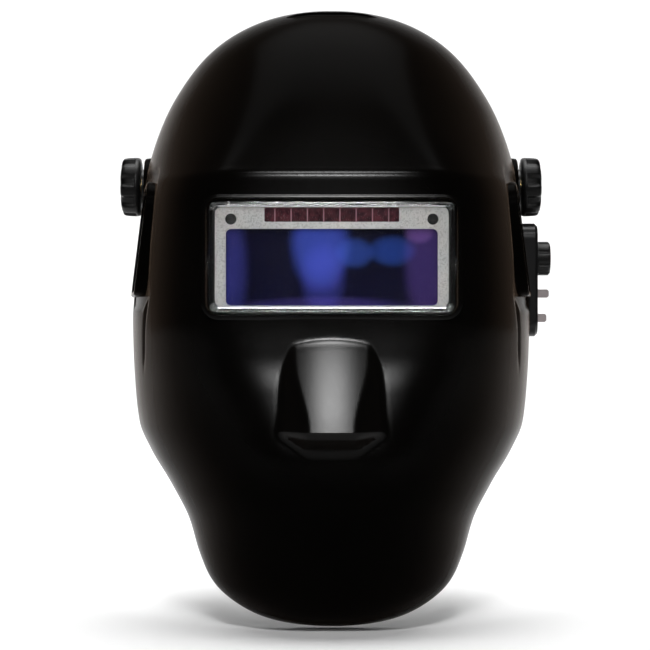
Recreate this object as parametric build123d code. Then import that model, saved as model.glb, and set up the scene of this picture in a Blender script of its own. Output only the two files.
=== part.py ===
from build123d import *
import math
import os

# Auto-darkening welding helmet with side windows, worn on a head harness with a ratchet at the back.
# Millimetres. +Z is up, the face looks along -Y, +X is the wearer's left, and the origin is the middle
# of the axis on which the shell flips up, between the two tension knobs.

# ---- driving dimensions -----------------------------------------------------------------------------
WALL = 2.6                      # moulded shell wall
RUNNING = 0.06                  # radial clearance of a shaft in its bore

EYE_Z = -42.0                   # height of the window's middle
LENS_W, LENS_H = 116.0, 52.3    # clear front cover
OPENING_W, OPENING_H = 118.0, 54.3
LENS_FACE_Y = -151.4            # front face of the clear cover
CARTRIDGE_W, CARTRIDGE_H = 110.0, 90.0
BEZEL_W, BEZEL_H = 110.0, 48.4  # raised front of the cartridge
BEZEL_Y = -147.0
LEDGE_Y = -147.6                # ledge that the clear cover rests on
SEAT_Y = -143.4                 # where the cartridge presses on the window frame
CARTRIDGE_BACK_Y = -134.0
FILTER_W, FILTER_H, FILTER_Z = 99.8, 36.1, -46.7
SOLAR_W, SOLAR_H, SOLAR_Z = 63.4, 6.7, -22.0
SENSOR_X, SENSOR_Z, SENSOR_R = 47.5, -24.1, 2.6

PIVOT_FACE_X = 99.4             # outer face of the shell's pivot bosses
BOSS_R, CUP_R = 15.2, 12.4
BOLT_R, THREAD_R = 5.0, 3.0
HUB_R, HUB_END_X = 10.5, 95.2
BRACKET_X, DISC_X, RIM_X = 82.6, 84.8, 87.4    # inner face, plate face and stop rim of a side bracket
STOP_RIM_R, STOP_SLOT_R = 22.8, 17.4
STOP_PIN_R, STOP_PIN_ORBIT = 2.0, 20.0
FLIP_RANGE = 70.0
KNOB_R, KNOB_OUT_X = 15.7, 112.5

POD_FACE_X = 109.2              # control pod on the wearer's left
POD_Y, POD_Z = 4.0, -50.0
POD_L, POD_H = 46.0, 60.0
CABLE_R = 1.5                   # lead from the pod to the cartridge
SHADE_Z, SHADE_R, SHADE_OUT_X = -38.2, 9.1, 117.4
LEVER_Z = {"sensitivity": -57.0, "delay": -70.1}
LEVER_OUT_X = {"sensitivity": 117.0, "delay": 115.7}

BAND_HALF_W, BAND_HALF_L, BAND_MID_Y = 80.0, 97.5, 2.5
BAND_T, BAND_H, BAND_Z = 2.0, 22.0, -4.0
ARM_END_Y = 47.0
RIVET_Y = 25.5                  # rivets that hold the side brackets
TAIL_Y = {"left": 99.0, "right": 101.2}
TAIL_T = 1.6
TAIL_END_X = 52.0
TAIL_TRAVEL = 12.0
PITCH_R, TEETH = 6.0, 12        # ratchet pinion, module 1
RETAINER_AXIS_Y, RETAINER_AXIS_Z = -131.9, 10.0
PIN_R = 1.5                     # retainer's hinge pins

# Shell sections from chin to crown: height, half width, front, widest and rear depth, half of the flat front
STATIONS = [
    (-220.4, 8.0, -111.0, -104.0, -96.0, 2.0),
    (-217.5, 30.0, -124.0, -99.0, -78.0, 6.0),
    (-210.0, 48.0, -135.0, -93.0, -55.0, 8.0),
    (-200.0, 59.5, -144.5, -84.0, -30.0, 10.0),
    (-187.0, 66.3, -152.0, -73.0, -5.0, 12.0),
    (-171.0, 72.2, -157.5, -58.0, 25.0, 14.0),
    (-154.0, 82.7, -160.0, -38.0, 55.0, 16.0),
    (-138.0, 94.2, -160.0, -17.0, 75.0, 20.0),
    (-124.0, 101.2, -158.5, -4.0, 88.0, 26.0),
    (-106.0, 103.6, -156.0, 2.0, 94.0, 36.0),
    (-88.0, 104.6, -153.5, 4.0, 98.0, 48.0),
    (-72.0, 104.8, -152.8, 4.0, 98.0, 56.0),
    (-42.0, 103.4, -152.6, 4.0, 98.0, 58.0),
    (-14.0, 100.3, -152.8, 2.0, 98.0, 56.0),
    (0.0, 98.2, -150.5, 0.0, 98.0, 48.0),
    (15.0, 94.4, -143.0, -6.0, 98.0, 36.0),
    (33.0, 87.5, -132.0, -14.0, 105.0, 24.0),
    (50.0, 77.5, -119.0, -22.0, 105.0, 16.0),
    (66.0, 63.5, -103.0, -32.0, 85.0, 10.0),
    (78.0, 45.0, -85.0, -40.0, 45.0, 6.0),
    (84.0, 27.0, -70.0, -45.0, 5.0, 4.0),
    (86.8, 8.0, -57.0, -48.0, -34.0, 2.0),
]
SHELL_MID = (0.0, -40.0, -66.8)
# Rear rim seen from the side, from the throat up to the crown
RIM = [(-112, -232), (-110, -215), (-80, -187), (-42, -153), (-10, -132), (18, -114), (33, -88), (36, -55),
       (34, -15), (28, 8), (17, 34), (3, 60), (-10, 80), (-14, 100)]
# Nose ridge: a rounded crest that slopes out below the window and turns under at its tip
NOSE_TOP = (-152.8, -80.5)      # depth and height where the crest leaves the face
NOSE_TIP = (-172.4, -124.0)
NOSE_UNDER = (-150.0, -142.0)   # where the underside meets the face
NOSE_R, NOSE_HALF = 21.0, 17.0
SIDES = {"left": 1, "right": -1}

FACING_X = Rot(0, 0, 90) * Rot(90, 0, 0)      # turns a sketch from XY to YZ, extruding along +X

nodes = {}


# ---- small helpers ----------------------------------------------------------------------------------
def plate_y(width, height, radius, front, back, x=0.0, z=0.0):
    """Rounded rectangle in XZ, from depth front to depth back."""
    sketch = RectangleRounded(width, height, radius)
    return Pos(x, back, z) * Rot(90, 0, 0) * extrude(sketch, amount=back - front)


def plate_x(length, height, radius, inner, outer, y=0.0, z=0.0):
    """Rounded rectangle in YZ, from X inner to X outer."""
    sketch = RectangleRounded(length, height, radius)
    return Pos(inner, y, z) * FACING_X * extrude(sketch, amount=outer - inner)


def disc_x(radius, inner, outer, y=0.0, z=0.0):
    low, high = min(inner, outer), max(inner, outer)
    return Pos((low + high) / 2, y, z) * Rot(0, 90, 0) * Cylinder(radius, high - low)


def disc_y(radius, front, back, x=0.0, z=0.0):
    return Pos(x, (front + back) / 2, z) * Rot(90, 0, 0) * Cylinder(radius, back - front)


def block(x0, x1, y0, y1, z0, z1):
    return Pos((x0 + x1) / 2, (y0 + y1) / 2, (z0 + z1) / 2) * Box(abs(x1 - x0), abs(y1 - y0), abs(z1 - z0))


def side_of(shape, side):
    """The shape as built for +X, or its mirror image for the wearer's right."""
    return shape if SIDES[side] > 0 else mirror(shape, about=Plane.YZ)


def keep(name, shape):
    nodes[name] = shape


def keep_both(name, shape):
    for side in SIDES:
        keep(f"{name}_{side}", side_of(shape, side))


def bend_radii(points):
    """Arc radii for a cord: as large as its runs allow."""
    radii = []
    for before, here, after in zip(points, points[1:], points[2:]):
        turn = (here - before).get_angle(after - here)
        run = min((here - before).length, (after - here).length)
        radii.append(0.45 * run / math.tan(math.radians(turn) / 2))
    return radii


# ---- shell ------------------------------------------------------------------------------------------
def section(station):
    """Flat front, elliptical sides and rear, at one height."""
    z, half, front, widest, rear, flat = station
    quarter = [(math.cos(math.radians(a)), math.sin(math.radians(a))) for a in range(0, 91, 15)]
    right = [(flat + (half - flat) * c, widest - (widest - front) * s) for c, s in quarter]
    back = [(half * c, widest + (rear - widest) * s) for c, s in quarter[1:]]
    outline = right + [(flat / 3, front), (-flat / 3, front)] + [(-x, y) for x, y in reversed(right)]
    outline += [(-x, y) for x, y in back] + [(x, y) for x, y in reversed(back[:-1])]
    return Face(Wire([Edge.make_spline([Vector(x, y, z) for x, y in outline], periodic=True)]))


def drawn_in(station, wall):
    """The same section, one wall nearer to the middle of the shell."""
    z, half, front, widest, rear, flat = station
    mid_z = SHELL_MID[2]
    reach = (STATIONS[-1][0] - STATIONS[0][0]) / 2
    inner_z = mid_z + (z - mid_z) * (1 - wall / reach)
    return (inner_z, half - wall, front + wall, widest, rear - wall, flat * (1 - wall / half))


def nose(wall):
    """Solid under the nose ridge, one wall inside it."""
    (top_y, top_z), (tip_y, tip_z), (under_y, under_z) = NOSE_TOP, NOSE_TIP, NOSE_UNDER
    back = 1.1 * wall
    rise = (under_y + 4 - top_y) * (top_z - tip_z) / (top_y - tip_y)
    outline = [Vector(0, under_y + 4, top_z + rise), Vector(0, tip_y, tip_z), Vector(0, under_y, under_z)]
    profile = Face(Wire(Polyline(*outline, close=True)))
    wedge = extrude(profile, amount=NOSE_HALF - wall, dir=(1, 0, 0), both=True)
    along = Vector(0, tip_y - top_y, tip_z - top_z).normalized()
    inward = Vector(0, -along.Z, along.Y)
    middle = Vector(0, (top_y + tip_y) / 2, (top_z + tip_z) / 2) + inward * NOSE_R
    crest = Plane(origin=middle, z_dir=along) * Cylinder(NOSE_R - wall, 120)
    return Pos(0, back, 0) * (wedge & Pos(0, -back, 0) * crest)


def pivot_boss():
    deep = PIVOT_FACE_X - 91.0
    return Pos(PIVOT_FACE_X - deep / 2, 0, 0) * Rot(0, 90, 0) * Cone(BOSS_R + 0.8, BOSS_R, deep)


def make_shell():
    outer = loft([section(s) for s in STATIONS])
    inner = loft([section(s) for s in [drawn_in(s, WALL) for s in STATIONS]])
    body = outer - inner

    # nose ridge, hollow behind
    body += nose(0) - inner
    body -= nose(WALL) & block(-30, 30, -180, -147, -150, NOSE_TOP[1])

    # window frame: a rectangular collar that the cartridge seats on
    collar = plate_y(OPENING_W + 6, OPENING_H + 6, 8, -160, SEAT_Y, z=EYE_Z)
    body += collar & outer
    body -= plate_y(OPENING_W, OPENING_H, 6, -175, LEDGE_Y, z=EYE_Z)
    body -= plate_y(BEZEL_W + 0.8, BEZEL_H + 0.8, 4.9, -175, -100, z=EYE_Z)

    # posts of the retainer's hinge
    for x in (-53, -27, 27, 53):
        post = block(x - 2, x + 2, -170, RETAINER_AXIS_Y, RETAINER_AXIS_Z - 4, RETAINER_AXIS_Z + 4)
        body += (post & outer) + disc_x(4, x - 2, x + 2, RETAINER_AXIS_Y, RETAINER_AXIS_Z)

    # rear rim
    spline = Edge.make_spline([Vector(0, y, z) for y, z in RIM])
    low, high = RIM[0], RIM[-1]
    corners = [high, (160, high[1]), (160, low[1]), low]
    back = [Vector(0, y, z) for y, z in corners]
    edges = [spline] + [Edge.make_line(a, b) for a, b in zip(back, back[1:])]
    body -= extrude(Face(Wire(edges)), amount=150, dir=(1, 0, 0), both=True)

    for side in SIDES:
        cup = disc_x(CUP_R, 80, HUB_END_X + 1.4)
        body -= side_of(cup, side)
        body += side_of(pivot_boss() - cup, side)
        body -= side_of(disc_x(BOSS_R + 1.2, PIVOT_FACE_X, 125), side)
        body -= side_of(disc_x(BOLT_R + RUNNING, 80, 125), side)
        body += side_of(disc_x(STOP_PIN_R, DISC_X + 0.6, 92.0, z=STOP_PIN_ORBIT), side)
        body += side_of(side_slab(SIDE_LEN + 5, SIDE_TALL + 5, 11, -SIDE_T / 2 - 1.6, 30) & outer, side)
        body -= side_of(side_slab(SIDE_LEN, SIDE_TALL, 9, -SIDE_T / 2, 30), side)
        body -= side_of(side_slab(SIDE_LEN - 8, SIDE_TALL - 8, 6, -30, 30), side)
    body -= pod_skirt_space()
    for x in (-40, 40):
        body -= disc_x(PIN_R, x - 20, x + 20, RETAINER_AXIS_Y, RETAINER_AXIS_Z)
    return outer, inner, body


# ---- side windows -----------------------------------------------------------------------------------
# Flat dark windows on each side, leaning out downward and in forward
SIDE_LEN, SIDE_TALL, SIDE_T = 72.0, 52.0, 4.6
SIDE_PLACE = Pos(93.9, -60.0, -31.5) * Rot(0, 0, -6.0) * Rot(0, -7.0, 0)


def side_slab(length, tall, radius, inner, outer):
    return SIDE_PLACE * plate_x(length, tall, radius, inner, outer)


def make_side_windows():
    frame = side_slab(SIDE_LEN, SIDE_TALL, 9, -SIDE_T / 2, SIDE_T / 2)
    frame -= side_slab(SIDE_LEN - 16, SIDE_TALL - 16, 5, -SIDE_T / 2 + 1.4, 30)
    frame -= side_slab(SIDE_LEN - 22, SIDE_TALL - 22, 4, -30, 30)
    lens = side_slab(SIDE_LEN - 16, SIDE_TALL - 16, 5, -SIDE_T / 2 + 1.4, SIDE_T / 2 - 0.6)
    keep_both("side_window_frame", frame)
    keep_both("side_lens", lens)


# ---- front window and auto-darkening cartridge ------------------------------------------------------
def make_front_cover():
    cover = plate_y(LENS_W, LENS_H, 5, LENS_FACE_Y, LEDGE_Y, z=EYE_Z)
    cover -= plate_y(LENS_W - 2.6, LENS_H - 2.6, 4, LENS_FACE_Y + 1.4, -140, z=EYE_Z)
    for x in (-1, 1):
        cover += plate_y(2.4, 11, 0.8, -149.6, LEDGE_Y, x=x * (LENS_W / 2 - 0.4), z=EYE_Z - 4)
        for z in (-1, 1):
            boss_x, boss_z = x * (LENS_W / 2 - 2.6), EYE_Z + z * (LENS_H / 2 - 2.6)
            cover += disc_y(1.9, LENS_FACE_Y - 0.5, LENS_FACE_Y + 1, boss_x, boss_z)
    keep("front_cover_lens", cover)


def make_cartridge():
    mid = -140.4
    front = plate_y(CARTRIDGE_W, CARTRIDGE_H, 5, SEAT_Y, mid, z=EYE_Z)
    front += plate_y(BEZEL_W, BEZEL_H, 4.5, BEZEL_Y, mid, z=EYE_Z)
    front -= plate_y(FILTER_W, FILTER_H, 2.5, -160, -130, z=FILTER_Z)
    front -= plate_y(FILTER_W + 4, FILTER_H + 4, 2, -144.6, -130, z=FILTER_Z)
    front -= plate_y(SOLAR_W, SOLAR_H, 0.6, BEZEL_Y - 1, BEZEL_Y + 0.9, z=SOLAR_Z)
    for x in (-SENSOR_X, SENSOR_X):
        front -= disc_y(SENSOR_R, BEZEL_Y - 1, BEZEL_Y + 1.2, x, SENSOR_Z)
    keep("cartridge_front", front)

    rear = plate_y(CARTRIDGE_W, CARTRIDGE_H, 5, mid, CARTRIDGE_BACK_Y, z=EYE_Z)
    rear -= plate_y(CARTRIDGE_W - 6, CARTRIDGE_H - 8, 4, -150, -136.6, z=EYE_Z)
    rear -= plate_y(FILTER_W - 2, 50, 3, -150, -120, z=EYE_Z)
    rear -= plate_y(FILTER_W + 6, 56, 3, -135.4, -120, z=EYE_Z)
    keep("cartridge_rear", rear)

    keep("filter_glass", plate_y(FILTER_W + 3.6, FILTER_H + 3.6, 2, -144.6, -141.4, z=FILTER_Z))
    keep("lcd_shutter", plate_y(FILTER_W + 3.6, FILTER_H + 3.6, 2, -141.3, -138.9, z=FILTER_Z))
    keep("solar_panel", plate_y(SOLAR_W, SOLAR_H, 0.6, BEZEL_Y + 0.2, BEZEL_Y + 0.9, z=SOLAR_Z))
    sensors = Part()
    for x in (-SENSOR_X, SENSOR_X):
        dome = Pos(x, BEZEL_Y + 0.6, SENSOR_Z) * Sphere(SENSOR_R - 0.3)
        dome &= block(x - 5, x + 5, BEZEL_Y - 10, BEZEL_Y, SENSOR_Z - 5, SENSOR_Z + 5)
        sensors += disc_y(SENSOR_R, BEZEL_Y - 0.2, BEZEL_Y + 1.2, x, SENSOR_Z) + dome
    keep("arc_sensors", sensors)
    board = plate_y(CARTRIDGE_W - 10, 11, 1, -139.8, -138.2, z=-76)
    keep("circuit_board", board)
    cells = Part() + [disc_y(4.9, -138.2, -136.7, x, -76) for x in (-30, -16)]
    keep("coin_cells", cells)
    keep("inner_cover_lens", plate_y(FILTER_W + 5.6, 55.6, 2.8, -135.4, -134.2, z=EYE_Z))


def make_retainer():
    low, high = -89.4, RETAINER_AXIS_Z - 4.6
    frame = plate_y(118, high - low, 5, -133.4, -130.6, z=(low + high) / 2)
    frame -= plate_y(104, 58, 4, -150, -100, z=EYE_Z)
    for x in (-40, 40):
        frame += block(x - 9, x + 9, -133.4, -130.6, high - 3, RETAINER_AXIS_Z)
        frame += disc_x(3.2, x - 9, x + 9, RETAINER_AXIS_Y, RETAINER_AXIS_Z)
        frame -= disc_x(PIN_R + RUNNING, x - 20, x + 20, RETAINER_AXIS_Y, RETAINER_AXIS_Z)
    for sign in (-1, 1):
        rail = block(sign * 53.4, sign * 57.4, -130.6, -126.4, -75, -9)
        rail -= block(sign * 53.0, sign * 55.6, -129.6, -127.4, -73, 0)
        frame += rail
    # thumb tab that swings the frame off the cartridge
    frame += block(-8, 8, -130.6, -127.6, low + 1, low + 5)
    keep("cartridge_retainer", frame)
    pins = Part() + [disc_x(PIN_R, x - 15, x + 15, RETAINER_AXIS_Y, RETAINER_AXIS_Z) for x in (-40, 40)]
    keep("retainer_pins", pins)


# ---- controls on the wearer's left ------------------------------------------------------------------
def pod_skirt_space():
    return plate_x(POD_L - 12, POD_H - 10, 4, 94, 125, POD_Y, POD_Z)


def make_controls(outer):
    flange = plate_x(POD_L, POD_H, 8, 99, POD_FACE_X, POD_Y, POD_Z)
    flange = chamfer(flange.faces().sort_by(Axis.X)[-1].edges(), 1.4)
    pod = flange - outer
    pod += plate_x(POD_L - 12, POD_H - 10, 4, 99.4, 106, POD_Y, POD_Z)
    pod -= plate_x(POD_L - 16, POD_H - 14, 3, 90, 107, POD_Y, POD_Z)
    pod -= disc_x(3.0 + RUNNING, 100, 115, POD_Y, SHADE_Z)
    for z in LEVER_Z.values():
        pod -= block(106, 112, POD_Y - 4.2, POD_Y + 4.2, z - 2.7, z + 2.7)
    back = plate_x(POD_L - 12, POD_H - 10, 4, 97.4, 99.4, POD_Y, POD_Z)
    screws = Part()
    for y in (POD_Y - 13, POD_Y + 13):
        for z in (POD_Z - 21, POD_Z + 21):
            screw = disc_x(1.2, 96.8, 104, y, z) + disc_x(2.2, 96.0, 97.4, y, z)
            pod += disc_x(2.6, 99.4, 107.2, y, z)
            pod -= screw
            back -= screw
            screws += screw
    keep("control_pod", pod)
    keep("pod_back_cover", back)
    keep("pod_screws", screws)

    pot = plate_x(15, 15, 1, 99.4, 104, POD_Y, SHADE_Z) - disc_x(3.0 + RUNNING, 101.6, 110, POD_Y, SHADE_Z)
    keep("shade_potentiometer", pot)
    knob = disc_x(SHADE_R, POD_FACE_X + 0.5, SHADE_OUT_X, POD_Y, SHADE_Z)
    knob = chamfer(knob.edges().filter_by(GeomType.CIRCLE).sort_by(Axis.X)[-1], 1.0)
    for i in range(9):
        turn = math.radians(40 * i)
        y, z = POD_Y + (SHADE_R + 1.5) * math.cos(turn), SHADE_Z + (SHADE_R + 1.5) * math.sin(turn)
        knob -= disc_x(2.4, POD_FACE_X + 2.2, 125, y, z)
    knob += disc_x(3.0, 102.0, 110.5, POD_Y, SHADE_Z)
    keep("shade_knob", knob)

    switches = Part()
    for name, z in LEVER_Z.items():
        switches += plate_x(11, 5.6, 0.6, 99.4, 101.2, POD_Y, z)
        lever = Pos(104.4, POD_Y, z) * Cylinder(2.8, 4.4)
        lever += block(104.4, LEVER_OUT_X[name], POD_Y - 1.7, POD_Y + 1.7, z - 2.2, z + 2.2)
        tip = lever.edges().filter_by(Axis.Y).group_by(Axis.X)[-1]
        lever = chamfer(tip, 0.9)
        keep(f"{name}_lever", lever)
    keep("lever_switches", switches)


def make_cable(inner):
    points = [Vector(98.4, -13.0, -68), Vector(98.2, -36, -70), Vector(93, -68, -76), Vector(84, -98, -79),
              Vector(73, -121, -80), Vector(60.6, -135.0, -80)]
    radii = bend_radii(points)
    print("cable radii", [round(r, 1) for r in radii])
    path = FilletPolyline(*points, radius=radii)
    start, end = Plane(origin=path @ 0, z_dir=path % 0), Plane(origin=path @ 1, z_dir=path % 1)
    cable = sweep(start * Circle(CABLE_R), path=path)
    print("cable length", round(path.length, 1))
    tube = path.length * math.pi * CABLE_R ** 2
    print("cable volume", round(cable.volume), "section times length", round(tube))
    keep("control_cable", cable)
    gland = end * Pos(0, 0, 4) * Cylinder(2.0, 8)
    keep("cable_gland", gland - nodes["cartridge_rear"] - nodes["cartridge_front"])
    clips = Part()
    for share in (0.34, 0.66):
        middle = path @ share
        saddle = Pos(middle.X + 6, middle.Y, middle.Z) * Box(18, 7, 6.4)
        clips += (saddle & inner) - cable
    keep("cable_clips", clips)


def band_rivet(y):
    """Rivet with its head sunk in the side bracket."""
    return disc_x(2.0, 75.0, 84.0, y, BAND_Z) + disc_x(3.0, 83.8, DISC_X, y, BAND_Z)


# ---- flip pivots ------------------------------------------------------------------------------------
def make_pivots():
    # side bracket: plate on the headband, stop rim with a gap for the shell's pin, hub that carries the bolt
    bracket = plate_x(2 * RIVET_Y + 7, 16, 6, BRACKET_X, DISC_X, 0, BAND_Z - 0.5)
    bracket += disc_x(STOP_RIM_R, BRACKET_X, DISC_X)
    half = math.degrees(math.asin(STOP_PIN_R / STOP_PIN_ORBIT)) + 1.0
    angles = [90 + half - i * (FLIP_RANGE + 2 * half) / 8 for i in range(9)]
    fan = [(0, 0)] + [(40 * math.cos(math.radians(a)), 40 * math.sin(math.radians(a))) for a in angles]
    sector = Pos(DISC_X, 0, 0) * FACING_X * extrude(make_face(Polyline(*fan, close=True)), amount=4)
    bracket += disc_x(STOP_RIM_R, DISC_X, RIM_X) - disc_x(STOP_SLOT_R, DISC_X - 1, RIM_X + 1) - sector
    bracket += disc_x(HUB_R, BRACKET_X, HUB_END_X)
    bracket -= disc_x(8.0, BRACKET_X - 2, DISC_X)
    bracket -= disc_x(BOLT_R, BRACKET_X - 2, 100)
    for y in (-RIVET_Y, RIVET_Y):
        bracket -= band_rivet(y)
    keep_both("side_bracket", bracket)

    bolt = disc_x(8.0, BRACKET_X + 0.2, DISC_X) + disc_x(BOLT_R, DISC_X, 100.9) + disc_x(THREAD_R, 100.9, 109.4)
    keep_both("pivot_bolt", bolt)
    keep_both("friction_washer", disc_x(CUP_R - 0.8, HUB_END_X, HUB_END_X + 1.0) - disc_x(BOLT_R, 90, 100))
    keep_both("outer_washer", disc_x(9.5, PIVOT_FACE_X + 0.35, 100.9) - disc_x(BOLT_R, 90, 103))

    knob = disc_x(KNOB_R, 101.3, KNOB_OUT_X)
    rims = knob.edges().filter_by(GeomType.CIRCLE).sort_by(Axis.X)
    knob = chamfer([rims[0], rims[-1]], 1.6)
    lobes = 8
    for i in range(lobes):
        turn = 2 * math.pi * (i + 0.5) / lobes
        y, z = (KNOB_R + 2.2) * math.cos(turn), (KNOB_R + 2.2) * math.sin(turn)
        knob -= disc_x(4.4, 104.2, 125, y, z)
    knob -= disc_x(5.2, 90, 110.2)
    keep_both("tension_knob", knob)
    keep_both("knob_insert", disc_x(5.2, 101.3, 110.2) - disc_x(THREAD_R + RUNNING, 90, 109.9))


# ---- head harness -----------------------------------------------------------------------------------
def loop_strip(grow_in, grow_out, z0, z1):
    """Oval band around the head between two growths of its inner outline."""
    outer = Ellipse(BAND_HALF_W + grow_out, BAND_HALF_L + grow_out)
    inner = Ellipse(BAND_HALF_W + grow_in, BAND_HALF_L + grow_in)
    return Pos(0, BAND_MID_Y, z0) * extrude(outer - inner, amount=z1 - z0)


def crown_strip(half_w, high, thick):
    outer = Ellipse(half_w + thick, high + thick) - Ellipse(half_w, high)
    strip = Pos(0, 9, 0) * Rot(90, 0, 0) * extrude(outer, amount=18)
    return strip & block(-90, 90, -20, 20, -12, 90)


def make_headgear():
    z0, z1 = BAND_Z - BAND_H / 2, BAND_Z + BAND_H / 2
    band = loop_strip(0, BAND_T, z0, z1) & block(-100, 100, -120, ARM_END_Y, -50, 50)
    pad = loop_strip(-6.5, -0.2, z0 - 4, z1 + 6) & block(-66, 66, -120, -40, -50, 50)
    keep("brow_pad", pad)

    left = crown_strip(77.6, 69.6, 1.4) & block(-22, 90, -20, 20, -12, 90)
    right = crown_strip(76.0, 68.0, 1.4) & block(-90, 22, -20, 20, -12, 90)
    shank = Pos(0, 0, 69.5) * Cylinder(2.0, 4.0)
    stud = shank + Pos(0, 0, 71.7) * Cylinder(5.0, 1.2) + Pos(0, 0, 67.1) * Cylinder(4.2, 1.2)
    left -= stud
    right -= stud

    rivets = Part()
    for side, sign in SIDES.items():
        for y in (-RIVET_Y, RIVET_Y):
            rivet = side_of(band_rivet(y), side)
            rivets += rivet
            band -= rivet
        for y in (-5, 5):
            rivet = disc_x(1.4, 75.2 * sign, 82.3 * sign, y, -9)
            rivets += rivet
            band -= rivet
            if sign > 0:
                left -= rivet
            else:
                right -= rivet
    keep("headband", band)
    keep("crown_strap_left", left)
    keep("crown_strap_right", right)
    keep("crown_stud", stud)
    keep("band_rivets", rivets)


def rack_tail(side):
    """Toothed end of the headband; slides along X through the ratchet."""
    y0 = TAIL_Y[side]
    sign = SIDES[side]
    z0, z1 = BAND_Z - BAND_H / 2, BAND_Z + BAND_H / 2
    inner_end, slot_half = 25.0, 21.0
    tail = block(-inner_end * sign, TAIL_END_X * sign, y0, y0 + TAIL_T, z0, z1)
    # rack on the lower edge of the slot for the left tail, on the upper edge for the right one
    edge = -1 if side == "left" else 1
    root, tip = PITCH_R + 1.0, PITCH_R - 0.7
    open_edge = BAND_Z - edge * 8.2
    tail -= block(-slot_half, slot_half, y0 - 1, y0 + TAIL_T + 1, BAND_Z + edge * root, open_edge)
    pitch = math.pi * 2 * PITCH_R / TEETH
    for i in range(-6, 7):
        x = (i + 0.5) * pitch
        if abs(x) > slot_half - 0.5:
            continue
        base, top = 0.92, 0.36
        outline = [(x - base, BAND_Z + edge * (root + 0.4)), (x + base, BAND_Z + edge * (root + 0.4)),
                   (x + top, BAND_Z + edge * tip), (x - top, BAND_Z + edge * tip)]
        tooth = extrude(make_face(Polyline(*outline, close=True)), amount=TAIL_T)
        tail += Pos(0, y0 + TAIL_T, 0) * Rot(90, 0, 0) * tooth
    return tail


def rear_strap():
    """Springy stretch between the headband's arm and the toothed tail."""
    z0 = BAND_Z - BAND_H / 2
    start_y = ARM_END_Y + 0.4
    run = (start_y - BAND_MID_Y) / (BAND_HALF_L + BAND_T / 2)
    start_x = (BAND_HALF_W + BAND_T / 2) * math.sqrt(1 - run ** 2)
    slope = Vector(-(BAND_HALF_W / BAND_HALF_L) * run / math.sqrt(1 - run ** 2), 1)
    centre = Edge.make_spline([Vector(start_x, start_y), Vector(TAIL_END_X + 0.4, 100.6)],
                              tangents=[slope, Vector(-1, 0)])
    ribbon = trace(Wire([centre]), BAND_T)
    return Pos(0, 0, z0) * extrude(ribbon, amount=BAND_H)


def make_ratchet():
    keep("band_tail_left", rack_tail("left"))
    keep("band_tail_right", rack_tail("right"))
    keep_both("rear_strap", rear_strap())

    housing = plate_y(78, 34, 10, 97.0, 107.0, z=BAND_Z)
    housing -= block(-60, 60, 98.5, 103.3, BAND_Z - BAND_H / 2 - 0.6, BAND_Z + BAND_H / 2 + 0.6)
    housing -= plate_y(70, 24, 6, 96.0, 98.5, z=BAND_Z)
    housing -= disc_y(4.0 + RUNNING, 100, 115, z=BAND_Z)
    cover = plate_y(78, 34, 10, 95.2, 97.0, z=BAND_Z) + plate_y(69.8, 23.8, 6, 97.0, 98.2, z=BAND_Z)
    screws = Part()
    for x in (-34, 34):
        for z in (-13.8, 13.8):
            screw = disc_y(1.2, 95.6, 104, x, BAND_Z + z) + disc_y(2.2, 94.9, 96.2, x, BAND_Z + z)
            housing -= screw
            cover -= screw
            screws += screw
    keep("ratchet_housing", housing)
    keep("ratchet_cover", cover)
    keep("ratchet_screws", screws)
    pad = plate_y(92, 40, 14, 86.2, 94.7, z=BAND_Z)
    keep("rear_pad", pad)

    gear = disc_y(4.7, 98.7, 103.1)
    step = 2 * math.pi / TEETH
    for i in range(TEETH):
        turn = math.degrees(i * step)
        outline = [(-1.05, 4.3), (1.05, 4.3), (0.42, PITCH_R + 0.7), (-0.42, PITCH_R + 0.7)]
        tooth = extrude(make_face(Polyline(*outline, close=True)), amount=4.4)
        gear += Rot(0, turn, 0) * Pos(0, 103.1, 0) * Rot(90, 0, 0) * tooth
    gear += disc_y(4.0, 103.1, 113.0)
    keep("ratchet_pinion", Pos(0, 0, BAND_Z) * gear)

    knob = disc_y(21.0, 107.5, 122.0)
    rims = knob.edges().filter_by(GeomType.CIRCLE).sort_by(Axis.Y)
    knob = chamfer(rims[-1], 2.0)
    for i in range(12):
        turn = 2 * math.pi * i / 12
        knob -= disc_y(3.6, 110.5, 130, 22.6 * math.cos(turn), 22.6 * math.sin(turn))
    knob -= disc_y(4.0, 100, 113.0)
    knob -= disc_y(13.0, 119.5, 130)
    keep("ratchet_knob", Pos(0, 0, BAND_Z) * knob)


def main():
    outer, inner, shell = make_shell()
    keep("shell", shell)
    make_side_windows()
    make_front_cover()
    make_cartridge()
    make_retainer()
    make_controls(outer)
    make_cable(inner)
    make_pivots()
    make_headgear()
    make_ratchet()
    os.makedirs("parts", exist_ok=True)
    for name, shape in nodes.items():
        export_step(shape, f"parts/{name}.step")
    print(len(nodes), "nodes")


main()
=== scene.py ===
import math

import bmesh
import bpy
import numpy as np
from mathutils import Matrix, Vector


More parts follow.
